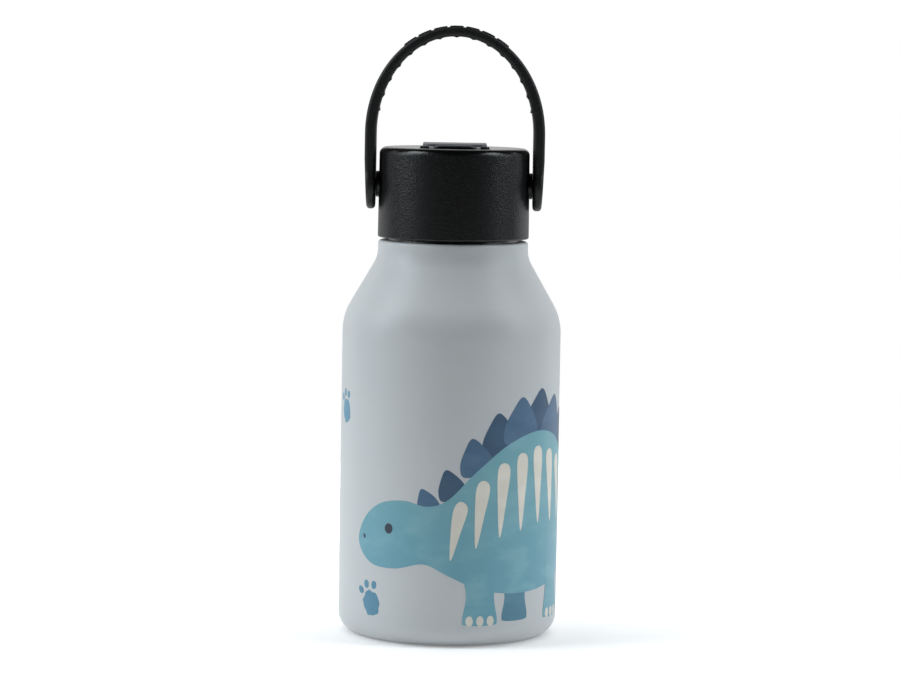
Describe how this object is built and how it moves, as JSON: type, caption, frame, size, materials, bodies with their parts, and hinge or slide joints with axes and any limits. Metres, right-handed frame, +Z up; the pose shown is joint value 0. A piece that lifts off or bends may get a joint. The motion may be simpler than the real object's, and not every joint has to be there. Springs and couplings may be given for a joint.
{
  "type": "water bottle",
  "caption": "Small double-walled steel kids bottle with a screw cap, a folding spout and straw, and a swinging carry handle.",
  "frame": {"origin": "centre of the base, on the surface the bottle stands on", "axes": "+Z up the bottle's axis; the drinking side faces -Y; the handle's pivots lie along X"},
  "size_m": [0.073, 0.073, 0.2027],
  "materials": {
    "powder_coat": "pale grey powder coat, satin",
    "bare_steel": "turned stainless steel",
    "seal_glass": "dark sealing glass",
    "silicone": "translucent white silicone",
    "cap_plastic": "near-black, fine spark grain, smooth on top",
    "liner_plastic": "near-black, smooth",
    "spout_plastic": "mid grey, fine grain",
    "mouthpiece_rubber": "grey soft rubber",
    "straw_plastic": "clear-white straw",
    "handle_plastic": "matte black, fine grain",
    "grip_rubber": "matte black soft grip",
    "print_ink": "printed decoration in teal, navy and cream"
  },
  "bodies": {
    "flask": {"outer_shell": "powder_coat", "inner_flask": "bare_steel", "base_plate": "bare_steel", "vacuum_seal_bead": "seal_glass", "base_cover_disc": "powder_coat", "getter_capsule": "bare_steel"},
    "seal": {"neck_gasket": "silicone"},
    "cap": {"cap_shell": "cap_plastic", "cap_liner": "liner_plastic", "spout_seal": "silicone", "straw": "straw_plastic", "vent_valve": "silicone", "right_pivot_pin": "cap_plastic", "left_pivot_pin": "cap_plastic", "right_pin_clip": "bare_steel", "left_pin_clip": "bare_steel"},
    "spout": {"spout_lever": "spout_plastic", "mouthpiece": "mouthpiece_rubber"},
    "handle": {"handle_strap": "handle_plastic", "handle_grip": "grip_rubber", "handle_pads": "grip_rubber"}
  },
  "joints": [
    {"name": "cap_rise", "type": "slide", "parent": "flask", "child": "seal", "axis": [0, 0, 1], "range_m": [0, 0.0054]},
    {"name": "cap_turn", "type": "hinge", "parent": "seal", "child": "cap", "pos_m": [0, 0, 0.15], "axis": [0, 0, 1], "range_deg": [0, 540]},
    {"name": "spout_flip", "type": "hinge", "parent": "cap", "child": "spout", "pos_m": [0, 0.008, 0.158], "axis": [-1, 0, 0], "range_deg": [0, 90]},
    {"name": "handle_swing", "type": "hinge", "parent": "cap", "child": "handle", "pos_m": [0, 0, 0.1498], "axis": [1, 0, 0], "range_deg": [-128, 128]}
  ],
  "couplings": [
    {"joint": "cap_turn", "follows": "cap_rise", "rad_per_m": 1745.3}
  ]
}
